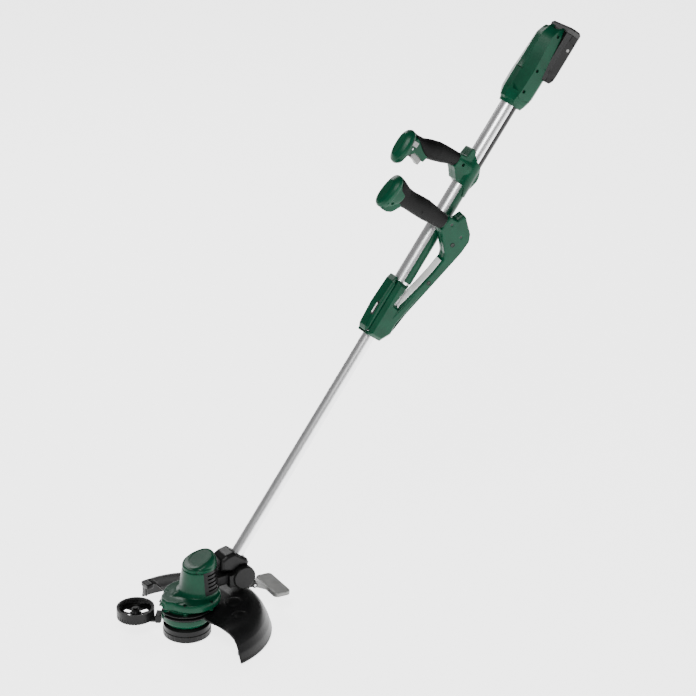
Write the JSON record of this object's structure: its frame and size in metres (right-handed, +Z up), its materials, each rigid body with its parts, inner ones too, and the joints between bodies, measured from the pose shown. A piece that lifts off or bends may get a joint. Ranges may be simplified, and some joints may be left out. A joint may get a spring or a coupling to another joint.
{
  "type": "string trimmer",
  "caption": "Cordless string trimmer: telescopic shaft, two forward pistol grips, slide-on battery, tilting motor head with guard, line spool, edging wheel and pedal.",
  "frame": {"origin": "centre of the spool cap's bottom face", "axes": "+Z up along the spool axis, shaft leaning back towards +X where the user stands, -Y is the user's left"},
  "size_m": [0.9745, 0.323, 1.0826],
  "materials": {
    "green_plastic": "semi-gloss moulded",
    "black_plastic": "fine moulded texture",
    "dark_grey_plastic": "fine moulded texture",
    "grip_rubber": "soft matt",
    "grey_plastic": "satin",
    "aluminium": "satin anodised",
    "steel": "zinc plated",
    "gear_steel": "machined",
    "copper": "bare",
    "circuit_board": "solder mask",
    "cell_wrap": "shrink sleeve",
    "line_nylon": "extruded nylon"
  },
  "bodies": {
    "shaft": {"upper_tube": "aluminium", "tube_bush": "black_plastic", "cable_rail": "green_plastic", "cable_channel": "black_plastic", "lower_housing_left": "green_plastic", "lower_housing_right": "green_plastic", "lever_pins": "steel", "front_handle_left": "green_plastic", "front_handle_right": "green_plastic", "front_grip": "grip_rubber", "front_handle_cap": "green_plastic", "handle_screws": "steel", "rear_handle_left": "green_plastic", "rear_handle_right": "green_plastic", "rear_grip": "grip_rubber", "rear_handle_cap": "green_plastic", "power_switch": "black_plastic", "rear_housing_left": "green_plastic", "rear_housing_right": "green_plastic", "control_board": "circuit_board", "terminal_block": "black_plastic"},
    "trigger": {"trigger": "grey_plastic"},
    "lock_off": {"lock_off_button": "grey_plastic"},
    "lever": {"clamp_lever": "green_plastic"},
    "battery": {"battery_case": "black_plastic", "battery_lid": "dark_grey_plastic", "battery_cells": "cell_wrap", "battery_contacts": "copper"},
    "battery_key": {"battery_button": "black_plastic"},
    "lower_shaft": {"lower_tube": "aluminium"},
    "knuckle": {"knuckle_housing": "black_plastic", "knuckle_cover": "black_plastic"},
    "head": {"neck_bracket": "black_plastic", "pivot_pins": "steel", "tilt_caps": "black_plastic", "motor_housing": "green_plastic", "vent_panel": "black_plastic", "motor_cap": "green_plastic", "gear_case": "green_plastic", "guard": "black_plastic", "line_cutter": "steel", "wheel_arm": "black_plastic", "wheel_clip": "black_plastic", "motor_plate": "steel", "motor_can": "steel", "lower_bearing": "steel", "head_screws": "steel"},
    "pedal": {"foot_pedal": "grey_plastic"},
    "wheel": {"wheel_tyre": "black_plastic", "wheel_hub": "black_plastic"},
    "rotor": {"rotor": "copper", "motor_shaft": "steel", "motor_pinion": "gear_steel"},
    "spool": {"spindle": "steel", "drive_gear": "gear_steel", "spool_housing": "black_plastic", "spool_cap": "black_plastic", "spool_drum": "black_plastic", "cutting_line": "line_nylon", "spool_spring": "steel"}
  },
  "joints": [
    {"name": "trigger_pull", "type": "hinge", "parent": "shaft", "child": "trigger", "pos_m": [0.49299, 0, 0.89588], "axis": [0, -1, 0], "range_deg": [0, 7], "stiffness_Nm_per_rad": 1.2, "springref_deg": -8.59},
    {"name": "lock_off_press", "type": "slide", "parent": "shaft", "child": "lock_off", "axis": [0, 1, 0], "range_m": [0, 0.0025], "stiffness_N_per_m": 400, "springref_m": -0.002},
    {"name": "lever_open", "type": "hinge", "parent": "shaft", "child": "lever", "pos_m": [0.39728, 0, 0.5495], "axis": [0, -1, 0], "range_deg": [0, 40]},
    {"name": "battery_slide", "type": "slide", "parent": "shaft", "child": "battery", "axis": [0.6032, 0, 0.7976], "range_m": [0, 0.12]},
    {"name": "battery_key_press", "type": "slide", "parent": "battery", "child": "battery_key", "axis": [-0.7976, 0, 0.6032], "range_m": [0, 0.002], "stiffness_N_per_m": 500, "springref_m": -0.002},
    {"name": "shaft_telescope", "type": "slide", "parent": "shaft", "child": "lower_shaft", "axis": [0.6032, 0, 0.7976], "range_m": [0, 0.137]},
    {"name": "head_swivel", "type": "hinge", "parent": "lower_shaft", "child": "knuckle", "pos_m": [0.09206, 0, 0.11708], "axis": [-0.6032, 0, -0.7976], "range_deg": [0, 90]},
    {"name": "head_tilt", "type": "hinge", "parent": "knuckle", "child": "head", "pos_m": [0.112, 0, 0.102], "axis": [0, -1, 0], "range_deg": [0, 30]},
    {"name": "pedal_press", "type": "hinge", "parent": "head", "child": "pedal", "pos_m": [0.138, 0, 0.074], "axis": [0, 1, 0], "range_deg": [0, 8], "stiffness_Nm_per_rad": 4, "springref_deg": -8.59},
    {"name": "wheel_spin", "type": "hinge", "parent": "head", "child": "wheel", "pos_m": [-0.08, 0.058, 0.04], "axis": [0, 0, 1], "continuous": true},
    {"name": "spool_spin", "type": "hinge", "parent": "head", "child": "spool", "pos_m": [0, 0, 0.02], "axis": [0, 0, 1], "continuous": true},
    {"name": "motor_spin", "type": "hinge", "parent": "head", "child": "rotor", "pos_m": [0.028, 0, 0.1], "axis": [0, 0, 1], "continuous": true}
  ],
  "couplings": [
    {"joint": "motor_spin", "follows": "spool_spin", "ratio": -3.6667}
  ]
}
